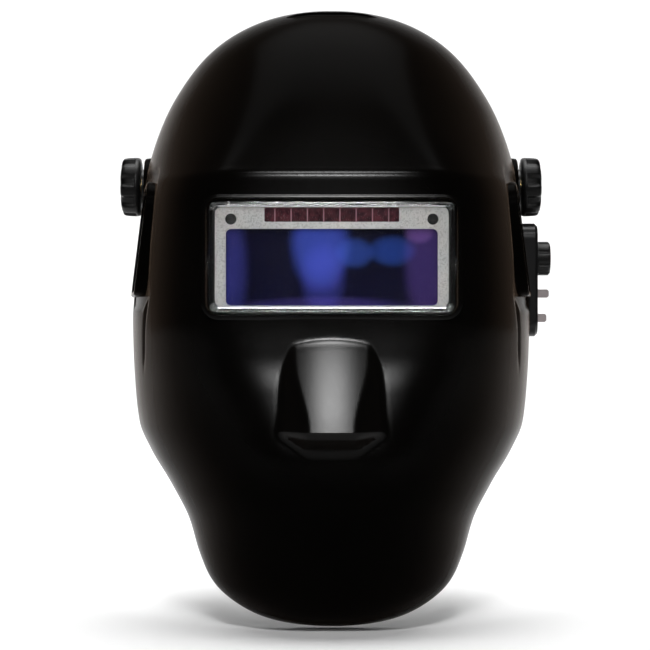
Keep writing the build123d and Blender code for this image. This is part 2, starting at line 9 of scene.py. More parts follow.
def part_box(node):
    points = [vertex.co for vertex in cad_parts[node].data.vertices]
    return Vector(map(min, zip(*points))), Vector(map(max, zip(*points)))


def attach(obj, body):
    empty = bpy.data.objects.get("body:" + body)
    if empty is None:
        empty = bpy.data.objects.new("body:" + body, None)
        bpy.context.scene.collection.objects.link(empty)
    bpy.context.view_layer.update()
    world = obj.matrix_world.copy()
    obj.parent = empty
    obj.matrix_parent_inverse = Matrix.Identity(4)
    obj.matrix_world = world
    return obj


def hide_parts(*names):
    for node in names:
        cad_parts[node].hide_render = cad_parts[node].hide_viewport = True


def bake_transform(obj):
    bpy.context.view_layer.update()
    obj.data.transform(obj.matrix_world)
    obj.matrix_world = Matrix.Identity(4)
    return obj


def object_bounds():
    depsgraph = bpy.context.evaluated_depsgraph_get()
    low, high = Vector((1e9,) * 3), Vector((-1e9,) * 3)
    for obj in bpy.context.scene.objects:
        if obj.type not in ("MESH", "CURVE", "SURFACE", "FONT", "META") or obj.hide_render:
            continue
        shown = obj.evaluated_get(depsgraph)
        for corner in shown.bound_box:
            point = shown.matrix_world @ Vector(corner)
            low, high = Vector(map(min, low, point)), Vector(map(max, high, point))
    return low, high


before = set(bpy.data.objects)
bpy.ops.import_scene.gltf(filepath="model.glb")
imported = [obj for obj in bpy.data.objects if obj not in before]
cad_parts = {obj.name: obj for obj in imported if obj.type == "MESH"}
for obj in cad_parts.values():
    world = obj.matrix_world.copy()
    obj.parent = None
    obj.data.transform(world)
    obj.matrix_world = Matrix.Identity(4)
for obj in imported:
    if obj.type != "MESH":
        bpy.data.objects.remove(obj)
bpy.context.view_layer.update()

MM = 0.001

# ---- shape of the shell, in millimetres: the CAD model's sections, with a crisper brow -----------------
# height, half width, front, widest and rear depth, half of the flat front
STATIONS = np.array([
    (-220.3, 0.5, -108.0, -104.0, -100.0, 0.3),
    (-217.5, 30.0, -124.0, -99.0, -78.0, 6.0),
    (-210.0, 48.0, -135.0, -93.0, -55.0, 8.0),
    (-200.0, 59.5, -144.5, -84.0, -30.0, 10.0),
    (-187.0, 66.3, -152.0, -73.0, -5.0, 12.0),
    (-171.0, 72.2, -157.5, -58.0, 25.0, 14.0),
    (-154.0, 82.7, -160.0, -38.0, 55.0, 16.0),
    (-138.0, 94.2, -160.0, -17.0, 75.0, 20.0),
    (-124.0, 101.2, -158.5, -4.0, 88.0, 26.0),
    (-106.0, 103.6, -156.0, 2.0, 94.0, 36.0),
    (-88.0, 104.6, -153.5, 4.0, 98.0, 48.0),
    (-72.0, 104.8, -152.8, 4.0, 98.0, 56.0),
    (-42.0, 103.4, -152.8, 4.0, 98.0, 58.0),
    (-14.0, 100.3, -152.8, 2.0, 98.0, 57.0),
    (-4.0, 99.0, -152.8, 1.0, 98.0, 52.0),
    (-2.0, 98.6, -152.3, 0.5, 98.0, 50.0),
    (0.0, 98.2, -151.0, 0.0, 98.0, 48.0),
    (15.0, 94.4, -141.2, -6.0, 98.0, 36.0),
    (33.0, 87.5, -128.8, -14.0, 105.0, 24.0),
    (50.0, 77.5, -115.5, -22.0, 105.0, 16.0),
    (66.0, 63.5, -100.0, -32.0, 85.0, 10.0),
    (78.0, 45.0, -83.0, -40.0, 45.0, 6.0),
    (84.0, 27.0, -69.0, -45.0, 5.0, 4.0),
    (86.7, 0.5, -50.0, -48.0, -46.0, 0.3),
])
# the rear rim: depth and height
RIM = np.array([
    (-112, -232), (-110, -215), (-80, -187), (-42, -153), (-10, -132), (18, -114), (33, -88),
    (36, -55), (34, -15), (28, 8), (17, 34), (3, 60), (-10, 80), (-14, 100)], float)
CENTRE = np.array((0.0, -45.0, -66.8))
SPREAD = np.array((105.0, 118.0, 153.5))
GRID = 150                      # squares along each side of the starting cube
WALL = 2.6
EYE_Z = -42.0
OPENING = (118.0, 54.3, 6.0)
SIDE_PLACE = (Matrix.Translation((93.9, -60.0, -31.5)) @ Matrix.Rotation(math.radians(-6), 4, "Z")
              @ Matrix.Rotation(math.radians(-7), 4, "Y"))
SIDE_SIZE = (72.0, 52.0, 9.0)
SIDE_T = 4.6
BOSS_R = 15.3
UNCUT = -9                      # a field value where nothing is cut
PANEL_Y = -152.8                # the flat front around the window
NOSE_TOP, NOSE_SLOPE, NOSE_BEND = -80.5, 0.475, 0.0008
NOSE_TIP = (172.5, -124.0)      # depth and height where the nose turns under
NOSE_UNDER_SLOPE = 1.25
NOSE_FLAT = (17.0, 10.5)        # half width of its flat front at the top and at the tip
NOSE_CROWN, NOSE_FLANK = 0.0035, 0.9
SIDE_STEP, CREASE_DEPTH = 1.5, 1.1


def soft_min(a, b, width):
    """The lower of two, rounded over a width where they cross."""
    gap = np.clip(0.5 + 0.5 * (b - a) / width, 0, 1)
    return b + (a - b) * gap - width * gap * (1 - gap) / 2


def soft_max(a, b, width):
    return -soft_min(-a, -b, width)


def ramp(a, b, x):
    """0 at a, 1 at b, smooth between."""
    t = np.clip((x - a) / (b - a), 0, 1)
    return t * t * (3 - 2 * t)


def hermite(xs, ys, x):
    """Smooth curve through the points, with slopes that don't overshoot."""
    step = np.diff(xs)
    rise = np.diff(ys) / step
    slope = np.zeros_like(ys)
    same = rise[:-1] * rise[1:] > 0
    slope[1:-1][same] = 2 * rise[:-1][same] * rise[1:][same] / (rise[:-1][same] + rise[1:][same])
    slope[0], slope[-1] = rise[0], rise[-1]
    i = np.clip(np.searchsorted(xs, x) - 1, 0, len(xs) - 2)
    t = np.clip((x - xs[i]) / step[i], 0, 1)
    h = step[i]
    return ((2 * t**3 - 3 * t**2 + 1) * ys[i] + (t**3 - 2 * t**2 + t) * h * slope[i]
            + (-2 * t**3 + 3 * t**2) * ys[i + 1] + (t**3 - t**2) * h * slope[i + 1])


def latitude(z):
    low, high = STATIONS[0, 0], STATIONS[-1, 0]
    return np.arcsin(np.clip((2 * z - low - high) / (high - low), -1, 1))


def outside(p):
    """Below 0 inside the shell's outer form, above 0 outside it."""
    x, y, z = p[:, 0], p[:, 1], p[:, 2]
    lat, at = latitude(z), latitude(STATIONS[:, 0])
    half, front, widest, rear, flat = (hermite(at, STATIONS[:, c], lat) for c in range(1, 6))
    soft = 0.35 * flat
    over, full = np.abs(x) - flat, half - flat
    side = (over + np.hypot(over, soft)) / np.maximum(full + np.hypot(full, soft), 0.1)
    ahead = np.hypot(side, (widest - y) / (widest - front))
    behind = np.hypot(x / half, (y - widest) / (rear - widest))
    value = np.where(y < widest, ahead, behind) - 1
    beyond = np.maximum(z - STATIONS[-1, 0], STATIONS[0, 0] - z)
    return np.where(beyond > 0, beyond + 1, value)


def rim_depth(z):
    return hermite(RIM[:, 1], RIM[:, 0], z)


def rounded_distance(x, y, width, height, radius):
    """Distance to a rounded rectangle about the middle, below 0 inside."""
    qx, qy = np.abs(x) - width / 2 + radius, np.abs(y) - height / 2 + radius
    return np.hypot(np.maximum(qx, 0), np.maximum(qy, 0)) + np.minimum(np.maximum(qx, qy), 0) - radius


def side_local(p):
    """Points in the side window's own frame: out of the window, along it and up it. Both sides alike."""
    q = p.copy()
    q[:, 0] = np.abs(q[:, 0])
    inverse = np.array(SIDE_PLACE.inverted())
    return q @ inverse[:3, :3].T + inverse[:3, 3]


def sculpt(p):
    """Nose, face panel and side window surrounds on the plain form."""
    q = p.copy()
    x, y, z = p[:, 0], p[:, 1], p[:, 2]
    facing = ramp(-70, -110, y)
    # nose ridge: a flat front that slopes forward from its arched top, then turns under
    drop = NOSE_TOP - z
    crest = PANEL_Y - NOSE_SLOPE * drop + NOSE_BEND * np.maximum(drop, 0) ** 2
    under = -NOSE_TIP[0] + NOSE_UNDER_SLOPE * (NOSE_TIP[1] - z)
    crest = soft_max(crest, under, 4.0)
    flat = NOSE_FLAT[0] - (NOSE_FLAT[0] - NOSE_FLAT[1]) * ramp(NOSE_TOP - 9, NOSE_TIP[1], z)
    over = np.maximum(np.abs(x) - flat, 0)
    nose = crest + NOSE_CROWN * x**2 + NOSE_FLANK * (np.hypot(over, 2.5) - 2.5)
    q[:, 1] = np.where(facing > 0, soft_min(y, nose, 1.0 + 2.0 * ramp(-90, -110, z)), y)
    # face panel: the shell steps in around each side window, with a crease that fades below
    local = side_local(p)
    ring = rounded_distance(local[:, 1], local[:, 2], SIDE_SIZE[0] + 16, SIDE_SIZE[1] + 14, 15)
    away = ramp(70, 90, np.abs(x))
    q[:, 0] -= np.sign(x) * SIDE_STEP * ramp(3.0, 0.0, ring) * away
    fade = ramp(-52, -64, z) * (1 - ramp(-84, -100, z)) * away
    crease = np.exp(-((y + 104 + 0.55 * (z + 60)) / 2.2) ** 2) * fade
    q[:, 0] -= np.sign(x) * CREASE_DEPTH * crease
    return q


def cube_sphere(n):
    """Directions of an even grid on a sphere, and its squares."""
    index, points, faces = {}, [], []

    def corner(i, j, k):
        key = (i, j, k)
        if key not in index:
            index[key] = len(points)
            points.append([math.tan(math.pi / 4 * (2 * c / n - 1)) for c in key])
        return index[key]

    for a in range(n):
        for b in range(n):
            for lay in (lambda u, v, w: (w, u, v), lambda u, v, w: (v, w, u), lambda u, v, w: (u, v, w)):
                square = [(a, b), (a + 1, b), (a + 1, b + 1), (a, b + 1)]
                faces.append([corner(*lay(u, v, n)) for u, v in square])
                faces.append([corner(*lay(u, v, 0)) for u, v in reversed(square)])
    points = np.array(points)
    return points / np.linalg.norm(points, axis=1)[:, None], faces


def shell_form():
    directions, faces = cube_sphere(GRID)
    rays = directions * SPREAD
    low, high = np.full(len(rays), 0.1), np.full(len(rays), 2.2)
    for _ in range(26):
        mid = (low + high) / 2
        out = outside(CENTRE + rays * mid[:, None]) > 0
        high = np.where(out, mid, high)
        low = np.where(out, low, mid)
    return CENTRE + rays * low[:, None], faces


def cut_away(mesh, field):
    """Removes the part of a bmesh where field is above 0, with a clean edge along 0."""
    values = {v: f for v, f in zip(mesh.verts, field)}
    for edge in list(mesh.edges):
        a, b = edge.verts
        fa, fb = values[a], values[b]
        if fa * fb < 0:
            share = fa / (fa - fb)
            _, new = bmesh.utils.edge_split(edge, a, share)
            values[new] = 0.0
    for face in list(mesh.faces):
        on = [v for v in face.verts if values[v] == 0.0]
        if len(on) == 2:
            bmesh.utils.face_split(face, *on) if not mesh.edges.get(on) else None
    gone = [f for f in mesh.faces if sum(values[v] for v in f.verts) > 0]
    bmesh.ops.delete(mesh, geom=gone, context="FACES")
    return mesh


def field_of(mesh, function):
    points = np.array([v.co for v in mesh.verts], float).reshape(-1, 3)
    return function(points)


# ---- mesh helpers --------------------------------------------------------------------------------------
def add_mesh(name, points, faces):
    """A mesh object from points in millimetres."""
    mesh = bpy.data.meshes.new(name)
    mesh.from_pydata([tuple(c * MM for c in p) for p in points], [], faces)
    mesh.validate()
    mesh.update()
    obj = bpy.data.objects.new(name, mesh)
    bpy.context.scene.collection.objects.link(obj)
    mesh.polygons.foreach_set("use_smooth", [True] * len(mesh.polygons))
    return obj


def apply_modifiers(obj):
    bpy.context.view_layer.update()
    graph = bpy.context.evaluated_depsgraph_get()
    mesh = bpy.data.meshes.new_from_object(obj.evaluated_get(graph))
    obj.modifiers.clear()
    obj.data = mesh
    return obj


def sharpen(obj, degrees=35):
    """Smooth shading with sharp edges above an angle."""
    mesh = obj.data
    mesh.polygons.foreach_set("use_smooth", [True] * len(mesh.polygons))
    mesh.set_sharp_from_angle(angle=math.radians(degrees))
    return obj


def rounded_outline(width, height, radius, grow=0.0, corner=7):
    points = []
    w, h, r = width / 2 + grow, height / 2 + grow, max(radius + grow, 0.2)
    for quarter, (sx, sy) in enumerate(((1, 1), (-1, 1), (-1, -1), (1, -1))):
        for i in range(corner + 1):
            turn = math.pi / 2 * (quarter + i / corner)
            points.append((sx * (w - r) + r * math.cos(turn), sy * (h - r) + r * math.sin(turn)))
    return points


def ring_mesh(name, place, size, profile):
    """A moulding swept round a rounded rectangle.
    profile is (growth of the outline, height out of the plane)."""
    points, faces = [], []
    count = len(rounded_outline(*size))
    for grow, out in profile:
        points += [tuple(place(a, b, out)) for a, b in rounded_outline(*size, grow=grow)]
    rows = len(profile)
    for r in range(rows):
        for i in range(count):
            a, b = r * count + i, r * count + (i + 1) % count
            c, d = ((r + 1) % rows) * count + (i + 1) % count, ((r + 1) % rows) * count + i
            faces.append((a, b, c, d))
    return sharpen(add_mesh(name, points, faces))


def pan_mesh(name, place, size, profile, extras=()):
    """A dished plate over a rounded rectangle.
    The profile runs from the back face round the edge to the front face.
    extras are small domes: middle, half widths along and across, foot and top."""
    points, faces = [], []
    count = len(rounded_outline(*size))
    for grow, out in profile:
        points += [tuple(place(a, b, out)) for a, b in rounded_outline(*size, grow=grow)]
    for r in range(len(profile) - 1):
        for i in range(count):
            a, b = r * count + i, r * count + (i + 1) % count
            faces.append((a, b, b + count, a + count))
    faces.append(tuple(range(count))[::-1])
    faces.append(tuple(range(len(points) - count, len(points))))
    for (mid_a, mid_b), (half_a, half_b), foot, top in extras:
        start, turns, rings = len(points), 20, 6
        for k in range(rings):
            lean = math.pi / 2 * k / (rings - 1)
            for i in range(turns):
                turn = 2 * math.pi * i / turns
                spread = max(math.cos(lean), 0.02)
                along = mid_a + half_a * spread * math.cos(turn)
                across = mid_b + half_b * spread * math.sin(turn)
                points.append(tuple(place(along, across, foot + (top - foot) * math.sin(lean))))
        for k in range(rings - 1):
            for i in range(turns):
                a, b = start + k * turns + i, start + k * turns + (i + 1) % turns
                faces.append((a, b, b + turns, a + turns))
        faces.append(tuple(range(start, start + turns))[::-1])
        faces.append(tuple(range(len(points) - turns, len(points))))
    plate = sharpen(add_mesh(name, points, faces), 50)
    for polygon in plate.data.polygons:
        polygon.use_smooth = len(polygon.vertices) == 4
    return plate


def lathe_x(name, profile, side, turns=96, lobe=None):
    """A turned piece about the X axis: profile is (radius, x), closed.
    lobe(turn, radius, x) changes the radius."""
    points, faces = [], []
    rows = len(profile)
    for i in range(turns):
        turn = 2 * math.pi * i / turns
        for radius, x in profile:
            r = lobe(turn, radius, x) if lobe else radius
            points.append((side * x, r * math.cos(turn), r * math.sin(turn)))
    for i in range(turns):
        for k in range(rows):
            a, b = i * rows + k, i * rows + (k + 1) % rows
            c, d = ((i + 1) % turns) * rows + (k + 1) % rows, ((i + 1) % turns) * rows + k
            faces.append((a, b, c, d) if side < 0 else (d, c, b, a))
    return sharpen(add_mesh(name, points, faces), 30)


# ---- materials -----------------------------------------------------------------------------------------
def new_material(name):
    material = bpy.data.materials.new(name)
    material.use_nodes = True
    tree = material.node_tree
    shader = tree.nodes["Principled BSDF"]
    return material, tree, shader


def link(tree, a, b):
    tree.links.new(a, b)


def node(tree, kind, **values):
    n = tree.nodes.new(kind)
    for key, value in values.items():
        if hasattr(n, key):
            setattr(n, key, value)
        else:
            n.inputs[key.replace("_", " ")].default_value = value
    return n


def noise(tree, scale, detail=2.0, roughness=0.5, stretch=(1, 1, 1)):
    """Noise in the row frame; scale is features per metre."""
    where = node(tree, "ShaderNodeTexCoord")
    mapping = node(tree, "ShaderNodeMapping")
    mapping.inputs["Scale"].default_value = stretch
    link(tree, where.outputs["Object"], mapping.inputs["Vector"])
    n = node(tree, "ShaderNodeTexNoise")
    n.inputs["Scale"].default_value = scale
    n.inputs["Detail"].default_value = detail
    n.inputs["Roughness"].default_value = roughness
    link(tree, mapping.outputs["Vector"], n.inputs["Vector"])
    return n.outputs["Fac"]


def remap(tree, value, low, high, start=0.3, end=0.7):
    n = node(tree, "ShaderNodeMapRange")
    for key, v in (("From Min", start), ("From Max", end), ("To Min", low), ("To Max", high)):
        n.inputs[key].default_value = v
    link(tree, value, n.inputs["Value"])
    return n.outputs["Result"]


def two_colours(tree, value, dark, light, start=0.35, end=0.65):
    n = node(tree, "ShaderNodeValToRGB")
    n.color_ramp.elements[0].position, n.color_ramp.elements[1].position = start, end
    n.color_ramp.elements[0].color = (*dark, 1)
    n.color_ramp.elements[1].color = (*light, 1)
    link(tree, value, n.inputs["Fac"])
    return n.outputs["Color"]


def bump(tree, shader, value, depth_mm, strength=1.0):
    n = node(tree, "ShaderNodeBump")
    n.inputs["Strength"].default_value = strength
    n.inputs["Distance"].default_value = depth_mm * MM
    link(tree, value, n.inputs["Height"])
    link(tree, n.outputs["Normal"], shader.inputs["Normal"])


def add_values(tree, a, b, weight):
    n = node(tree, "ShaderNodeMath", operation="MULTIPLY_ADD")
    link(tree, b, n.inputs[0])
    n.inputs[1].default_value = weight
    link(tree, a, n.inputs[2])
    return n.outputs[0]


def moulded(name, colour, rough, grain=900, depth=0.03, vary=0.25, specular=0.5, coat=0.0, ior=1.5,
            sheen=None):
    """Moulded plastic: fine grain, slow colour drift, uneven gloss and faint handling marks."""
    material, tree, shader = new_material(name)
    drift = noise(tree, 24, 3)
    light = tuple(min(1, c * (1 + vary)) for c in colour)
    dark = tuple(c * (1 - vary) for c in colour)
    link(tree, two_colours(tree, drift, dark, light), shader.inputs["Base Color"])
    fine = noise(tree, grain, 3, 0.6)
    marks = noise(tree, 160, 4, 0.65, (1, 1, 0.25))
    mixed = add_values(tree, fine, marks, 0.35)
    link(tree, remap(tree, mixed, rough * 0.86, rough * 1.16, 0.4, 0.95), shader.inputs["Roughness"])
    bump(tree, shader, fine, depth)
    shader.inputs["Specular IOR Level"].default_value = specular
    shader.inputs["IOR"].default_value = ior
    if sheen:
        shader.inputs["Sheen Weight"].default_value = sheen[0]
        shader.inputs["Sheen Roughness"].default_value = sheen[1]
        shader.inputs["Sheen Tint"].default_value = (*sheen[2], 1)
    if coat:
        shader.inputs["Coat Weight"].default_value = coat
        shader.inputs["Coat Roughness"].default_value = 0.12
    return material


def worn_front(material):
    """Handling polishes the middle of the front; the rest stays dull."""
    tree = material.node_tree
    polish = blob(tree, object_axis(tree, "X"), object_axis(tree, "Z"), (0, -66), (85, 105))
    index = remap(tree, polish, 1.035, 1.24, 0, 1)
    link(tree, index, tree.nodes["Principled BSDF"].inputs["IOR"])
    return material


def metal(name, colour, rough, stretch=(1, 1, 30)):
    material, tree, shader = new_material(name)
    brushed = noise(tree, 500, 3, 0.6, stretch)
    dark = tuple(c * 0.85 for c in colour)
    link(tree, two_colours(tree, brushed, dark, colour), shader.inputs["Base Color"])
    link(tree, remap(tree, brushed, rough * 0.7, rough * 1.3), shader.inputs["Roughness"])
    shader.inputs["Metallic"].default_value = 1.0
    bump(tree, shader, brushed, 0.01)
    return material


def clear_plastic(name):
    material, tree, shader = new_material(name)
    smudge = noise(tree, 60, 4, 0.6)
    link(tree, remap(tree, smudge, 0.015, 0.06), shader.inputs["Roughness"])
    link(tree, two_colours(tree, smudge, (0.93, 0.96, 0.97), (1, 1, 1)), shader.inputs["Base Color"])
    shader.inputs["Transmission Weight"].default_value = 1.0
    shader.inputs["IOR"].default_value = 1.45
    return material


def object_axis(tree, axis):
    where = node(tree, "ShaderNodeTexCoord")
    split = node(tree, "ShaderNodeSeparateXYZ")
    link(tree, where.outputs["Object"], split.inputs["Vector"])
    return split.outputs[axis]


def blob(tree, x, z, centre, size):
    """1 in the middle of an oval, falling softly to 0."""
    parts = []
    for value, middle, reach in ((x, centre[0], size[0]), (z, centre[1], size[1])):
        offset = node(tree, "ShaderNodeMath", operation="SUBTRACT")
        link(tree, value, offset.inputs[0])
        offset.inputs[1].default_value = middle * MM
        scaled = node(tree, "ShaderNodeMath", operation="DIVIDE")
        link(tree, offset.outputs[0], scaled.inputs[0])
        scaled.inputs[1].default_value = reach * MM
        square = node(tree, "ShaderNodeMath", operation="MULTIPLY")
        link(tree, scaled.outputs[0], square.inputs[0])
        link(tree, scaled.outputs[0], square.inputs[1])
        parts.append(square.outputs[0])
    total = node(tree, "ShaderNodeMath", operation="ADD")
    link(tree, parts[0], total.inputs[0])
    link(tree, parts[1], total.inputs[1])
    n = node(tree, "ShaderNodeMapRange", interpolation_type="SMOOTHERSTEP")
    for key, v in (("From Min", 1.0), ("From Max", 0.0), ("To Min", 0.0), ("To Max", 1.0)):
        n.inputs[key].default_value = v
    link(tree, total.outputs[0], n.inputs["Value"])
    return n.outputs["Result"]


def filter_glass_painted_glow():
    """Dark blue-black filter glass, with painted reflection in its colour: a blue glow in the middle, weaker
    ones to one side, violet at the edges.
    """
    material, tree, shader = new_material("filter_glass_painted_glow")
    x, z = object_axis(tree, "X"), object_axis(tree, "Z")
    wave = noise(tree, 26, 2)
    x = add_values(tree, x, wave, 0.005)
    # painted reflection: blue and violet glows added to the base colour at fixed places, over the glass's
    # own dark blue
    painted_glows = (((-3, -36), (17, 26), (0.045, 0.075, 0.42)), ((-2, -52), (13, 22), (0.028, 0.03, 0.19)),
             ((13, -40), (11, 9), (0.02, 0.05, 0.24)), ((31, -39), (14, 9), (0.014, 0.045, 0.23)),
             ((-48, -44), (14, 40), (0.03, 0.03, 0.17)), ((47, -44), (13, 42), (0.05, 0.026, 0.13)),
             ((44, -30), (9, 7), (0.11, 0.05, 0.16)), ((0, -66), (50, 7), (0.035, 0.022, 0.12)))
    base = node(tree, "ShaderNodeRGB")
    base.outputs[0].default_value = (0.0035, 0.004, 0.018, 1)
    colour = base.outputs[0]
    for centre, size, tone in painted_glows:
        mix = node(tree, "ShaderNodeMix", data_type="RGBA", blend_type="ADD")
        link(tree, blob(tree, x, z, centre, size), mix.inputs["Factor"])
        link(tree, colour, mix.inputs[6])
        mix.inputs[7].default_value = (*tone, 1)
        colour = mix.outputs[2]
    link(tree, colour, shader.inputs["Base Color"])
    link(tree, remap(tree, noise(tree, 90, 3), 0.05, 0.12), shader.inputs["Roughness"])
    shader.inputs["IOR"].default_value = 1.3
    return material


def solar_cells():
    material, tree, shader = new_material("solar_cells")
    pitch = 7.65 * MM
    x = object_axis(tree, "X")
    wrap = node(tree, "ShaderNodeMath", operation="PINGPONG")
    link(tree, x, wrap.inputs[0])
    wrap.inputs[1].default_value = pitch / 2
    line = remap(tree, wrap.outputs[0], 0, 1, pitch / 2 - 0.35 * MM, pitch / 2 - 0.2 * MM)
    cell = two_colours(tree, noise(tree, 420, 3), (0.035, 0.006, 0.012), (0.11, 0.02, 0.03))
    mix = node(tree, "ShaderNodeMix", data_type="RGBA")
    link(tree, line, mix.inputs["Factor"])
    link(tree, cell, mix.inputs[6])
    mix.inputs[7].default_value = (0.42, 0.2, 0.24, 1)
    link(tree, mix.outputs[2], shader.inputs["Base Color"])
    link(tree, remap(tree, noise(tree, 200, 2), 0.12, 0.22), shader.inputs["Roughness"])
    return material


def knit(name, colour):
    """Black knit over foam: ribs of small loops, a little fuzz."""
    material, tree, shader = new_material(name)
    where = node(tree, "ShaderNodeTexCoord")
    wave_a = node(tree, "ShaderNodeTexWave")
    wave_a.bands_direction = "Z"
    wave_a.inputs["Scale"].default_value = 160
    wave_a.inputs["Distortion"].default_value = 1.2
    wave_b = node(tree, "ShaderNodeTexWave")
    wave_b.bands_direction = "DIAGONAL"
    wave_b.inputs["Scale"].default_value = 160
    wave_b.inputs["Distortion"].default_value = 1.0
    link(tree, where.outputs["Object"], wave_a.inputs["Vector"])
    link(tree, where.outputs["Object"], wave_b.inputs["Vector"])
    weave = add_values(tree, wave_a.outputs["Fac"], wave_b.outputs["Fac"], 0.8)
    fuzz = noise(tree, 1400, 3, 0.7)
    height = add_values(tree, weave, fuzz, 0.5)
    light = tuple(c * 2.2 for c in colour)
    link(tree, two_colours(tree, height, colour, light, 0.4, 1.0), shader.inputs["Base Color"])
    link(tree, remap(tree, fuzz, 0.8, 0.98), shader.inputs["Roughness"])
    shader.inputs["Sheen Weight"].default_value = 0.4
    shader.inputs["Sheen Roughness"].default_value = 0.5
    bump(tree, shader, height, 0.25)
    return material


def circuit():
    material, tree, shader = new_material("circuit_board")
    tracks = noise(tree, 260, 1, 0.3, (1, 1, 4))
    green = two_colours(tree, tracks, (0.01, 0.09, 0.03), (0.03, 0.22, 0.09), 0.47, 0.53)
    link(tree, green, shader.inputs["Base Color"])
    link(tree, remap(tree, tracks, 0.3, 0.5), shader.inputs["Roughness"])
    bump(tree, shader, tracks, 0.03)
    return material


def speckled(name, base, spot):
    material, tree, shader = new_material(name)
    fine = noise(tree, 1500, 2, 0.5)
    link(tree, two_colours(tree, fine, spot, base, 0.36, 0.5), shader.inputs["Base Color"])
    link(tree, remap(tree, noise(tree, 90, 3), 0.34, 0.5), shader.inputs["Roughness"])
    bump(tree, shader, fine, 0.03)
    return material


SHELL_BLACK = worn_front(moulded("shell_black", (0.0009, 0.0008, 0.0007), 0.2, 1100, 0.012, 0.2,
                                 sheen=(0.05, 0.35, (1.0, 0.7, 0.5))))
BLACK = moulded("black_plastic", (0.004, 0.004, 0.0042), 0.3, 1000, 0.02, ior=1.3)
KNOB_BLACK = moulded("knob_black", (0.004, 0.0039, 0.0039), 0.36, 1600, 0.06, 0.3, ior=1.25)
BAND_BLACK = moulded("band_black", (0.012, 0.012, 0.0125), 0.42, 700, 0.03)
FRAME_GLOSS = moulded("side_frame_gloss", (0.008, 0.008, 0.009), 0.2, 900, 0.012, 0.2, 0.5, 0.4)
LEVER_GREY = moulded("lever_grey", (0.3, 0.262, 0.262), 0.42, 1200, 0.02, 0.06)
HOUSING_GREY = speckled("housing_grey", (0.84, 0.81, 0.78), (0.62, 0.59, 0.56))
CLEAR = clear_plastic("clear_cover")
SIDE_GLASS = moulded("side_glass", (0.006, 0.008, 0.009), 0.06, 60, 0.004, 0.3, 0.7)
SENSOR = moulded("sensor_gloss", (0.004, 0.004, 0.005), 0.06, 200, 0.003, 0.2, 0.7)
RUBBER = moulded("cable_rubber", (0.012, 0.012, 0.012), 0.55, 900, 0.04)
STEEL = metal("plated_steel", (0.62, 0.62, 0.63), 0.3)
BRASS = metal("brass", (0.72, 0.5, 0.2), 0.28)
KNIT = knit("black_knit", (0.011, 0.011, 0.012))
FILTER = filter_glass_painted_glow()
SOLAR = solar_cells()
BOARD = circuit()

NODE_MATERIALS = {
    "shell": SHELL_BLACK,
    "front_cover_lens": CLEAR, "inner_cover_lens": CLEAR,
    "cartridge_front": HOUSING_GREY, "cartridge_rear": BLACK, "cartridge_retainer": BLACK,
    "filter_glass": FILTER, "lcd_shutter": FILTER, "solar_panel": SOLAR, "arc_sensors": SENSOR,
    "circuit_board": BOARD, "control_cable": RUBBER,
    "side_lens_left": SIDE_GLASS, "side_lens_right": SIDE_GLASS,
    "side_window_frame_left": FRAME_GLOSS, "side_window_frame_right": FRAME_GLOSS,
    "sensitivity_lever": LEVER_GREY, "delay_lever": LEVER_GREY,
    "shade_knob": KNOB_BLACK, "ratchet_knob": KNOB_BLACK,
    "tension_knob_left": KNOB_BLACK, "tension_knob_right": KNOB_BLACK,
    "knob_insert_left": BRASS, "knob_insert_right": BRASS,
}
STEEL_NODES = ("coin_cells", "pod_screws", "ratchet_screws", "retainer_pins", "band_rivets", "pivot_bolt")
BAND_NODES = ("headband", "band_tail", "rear_strap", "crown_strap", "crown_stud", "side_bracket",
              "friction_washer", "ratchet_pinion")


def dress(obj, material):
    obj.data.materials.clear()
    obj.data.materials.append(material)
    return obj


def dress_nodes():
    for name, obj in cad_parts.items():
        material = NODE_MATERIALS.get(name, BLACK)
        if name.startswith(STEEL_NODES):
            material = STEEL
        if name.startswith(BAND_NODES):
            material = BAND_BLACK
        for s in obj.material_slots:
            s.link = "OBJECT"
            s.material = material
        if not obj.material_slots:
            obj.data.materials.append(material)


